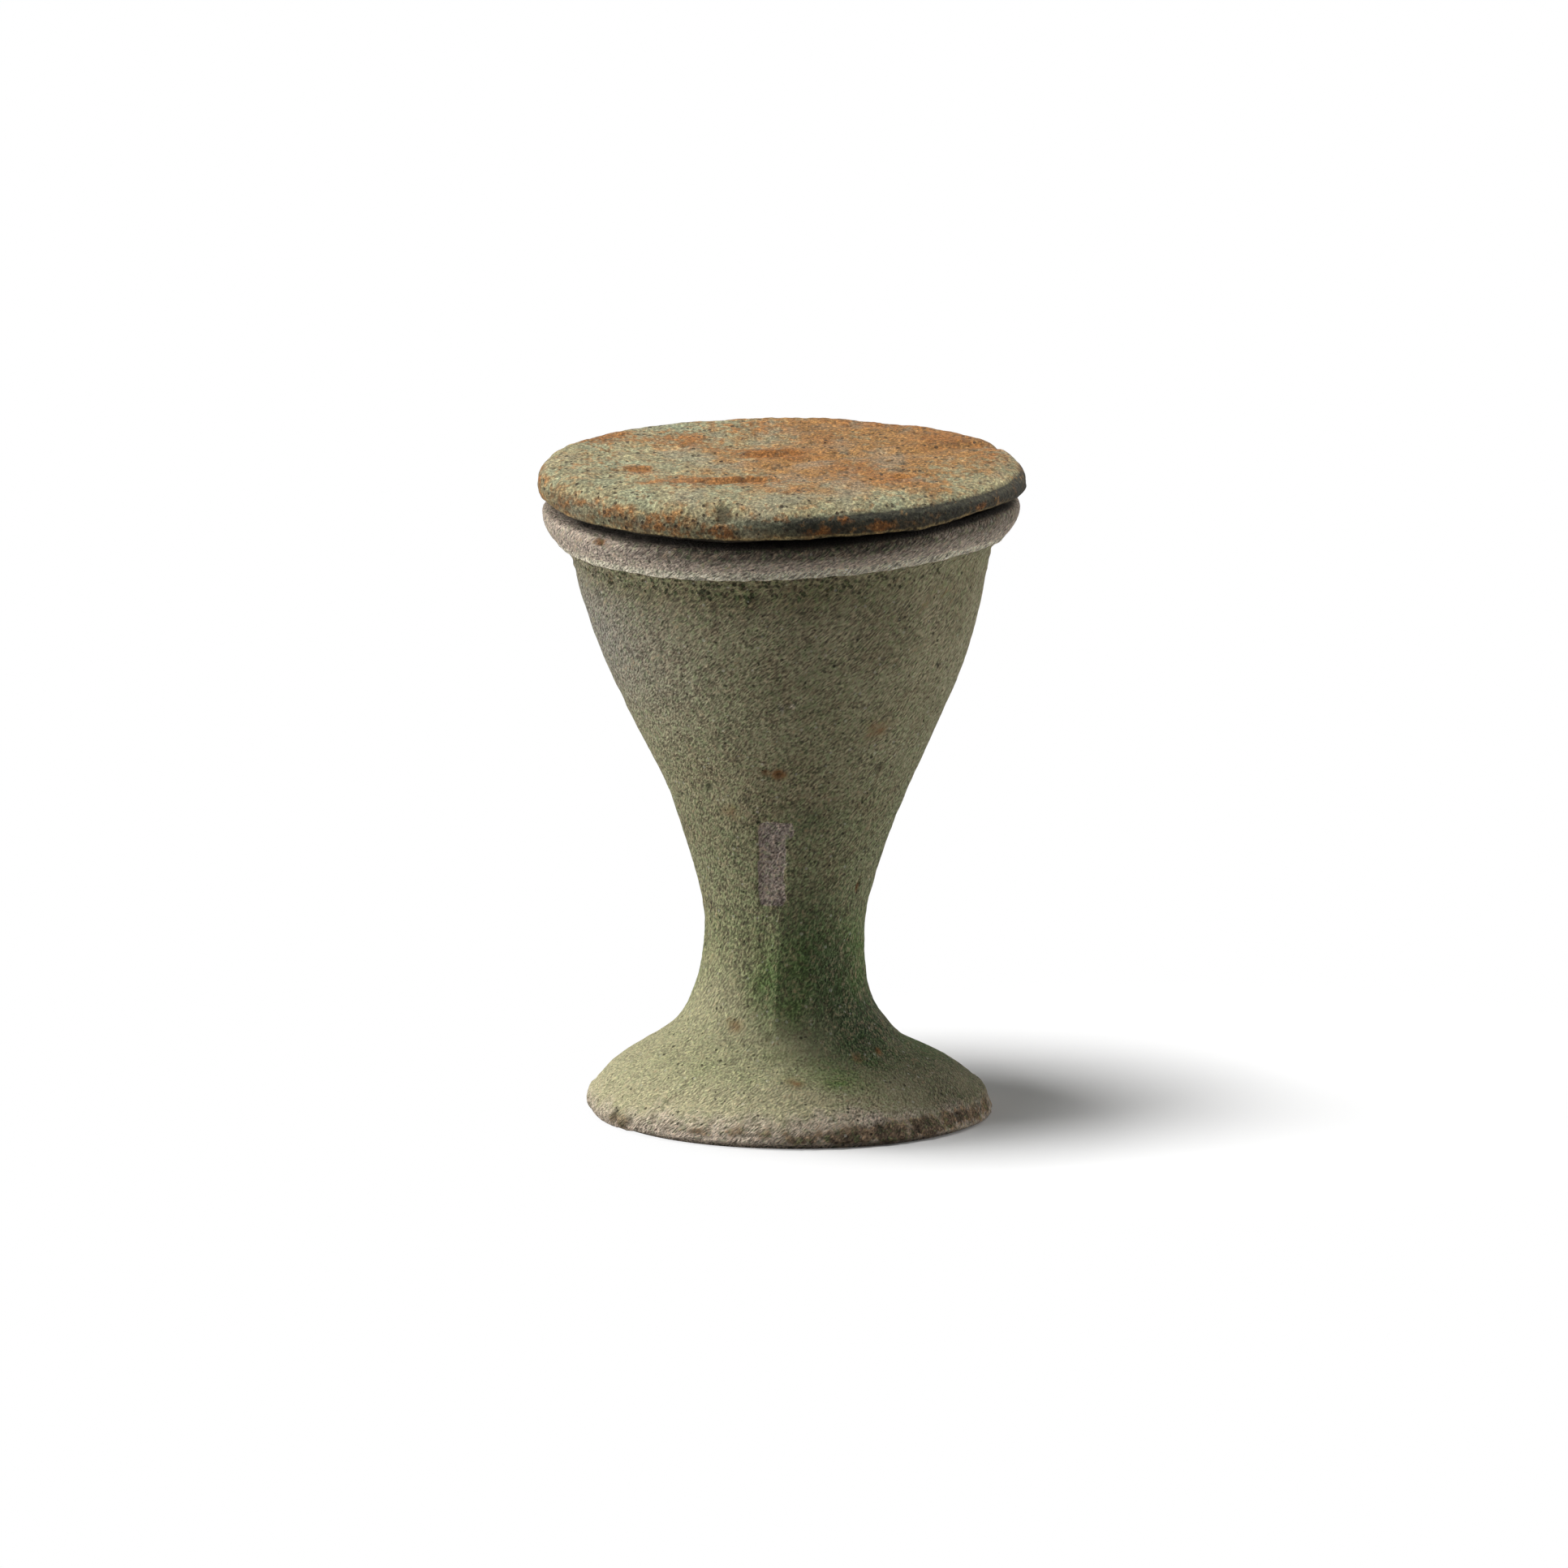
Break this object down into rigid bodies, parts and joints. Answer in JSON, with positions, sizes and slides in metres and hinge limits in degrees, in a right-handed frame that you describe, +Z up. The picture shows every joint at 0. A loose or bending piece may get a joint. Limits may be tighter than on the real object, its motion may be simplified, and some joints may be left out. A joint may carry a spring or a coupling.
{
  "type": "lidded offering cup",
  "caption": "Small footed offering cup with a deep tapering bowl, a rounded rim band and a loose disc lid that lifts off.",
  "frame": {"origin": "on the standing plane, under the middle of the mouth", "axes": "+Z up along the stem towards the lid; -Y is the front, as in the picture; +X is to the right seen from the front"},
  "size_m": [0.0602, 0.0602, 0.0816],
  "materials": {
    "cup_faience": "worn grey-green faience glaze, matte, with bare beige paste on the rim band and the foot's edge",
    "lid_faience": "worn pale faience glaze with ochre and rust staining, low sheen"
  },
  "bodies": {
    "cup": {"cup": "cup_faience"},
    "lid": {"lid": "lid_faience"}
  },
  "joints": [
    {"name": "lid_lift", "type": "slide", "parent": "cup", "child": "lid", "axis": [0, 0, 1], "range_m": [0, 0.05]}
  ]
}
